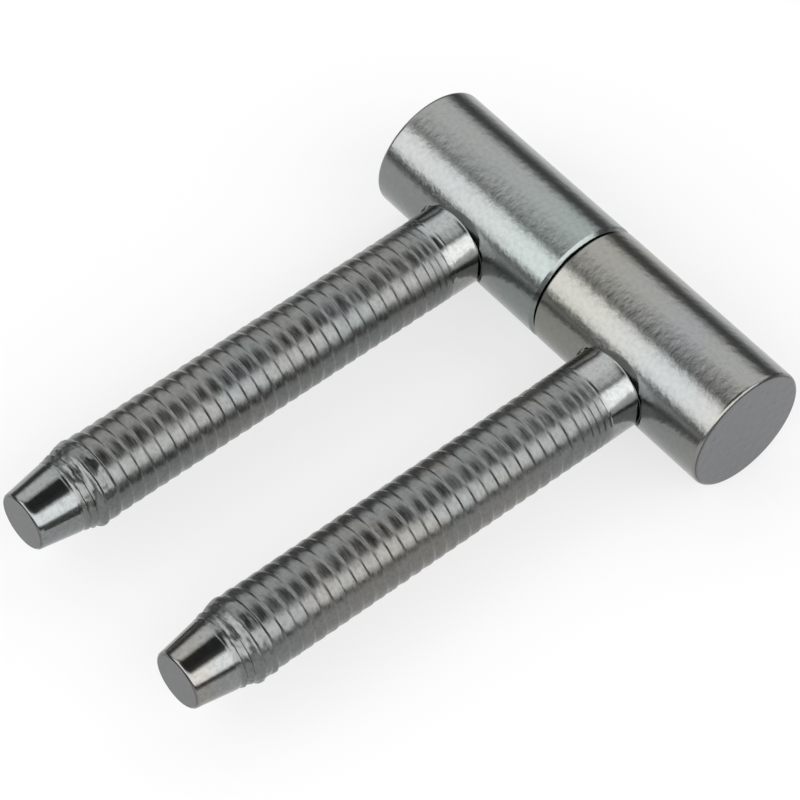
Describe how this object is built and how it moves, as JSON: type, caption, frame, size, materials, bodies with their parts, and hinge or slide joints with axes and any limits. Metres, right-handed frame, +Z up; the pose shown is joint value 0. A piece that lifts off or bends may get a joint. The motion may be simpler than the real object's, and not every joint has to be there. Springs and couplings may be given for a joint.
{
  "type": "drill-in barrel hinge",
  "caption": "Drill-in barrel hinge: plain round barrels meet end to end on a loose pin, and each carries a long threaded stud that screws into a door or its frame.",
  "frame": {"origin": "on the surface the hinge lies on, under the middle of its bounding box; the pin axis runs 7 mm above that surface at y = 27.4 mm, and the joint between the barrels is at x = 0", "axes": "+X along the pin axis from the frame half to the leaf half, -Y the way both studs point, +Z up from the surface"},
  "size_m": [0.048, 0.0688, 0.014],
  "materials": {
    "plated_barrel": "bright zinc plate with a fine orange-peel texture",
    "plated_stud": "bright zinc plate over a rolled thread, polished at the neck and tip",
    "pin_steel": "ground bright steel"
  },
  "bodies": {
    "frame_half": {"frame_barrel": "plated_barrel", "frame_stud": "plated_stud"},
    "pin": {"hinge_pin": "pin_steel"},
    "leaf_half": {"leaf_barrel": "plated_barrel", "leaf_stud": "plated_stud"}
  },
  "joints": [
    {"name": "swing", "type": "hinge", "parent": "frame_half", "child": "pin", "pos_m": [0, 0.0274, 0.007], "axis": [1, 0, 0], "continuous": true},
    {"name": "lift_off", "type": "slide", "parent": "pin", "child": "leaf_half", "axis": [1, 0, 0], "range_m": [0, 0.02]}
  ]
}
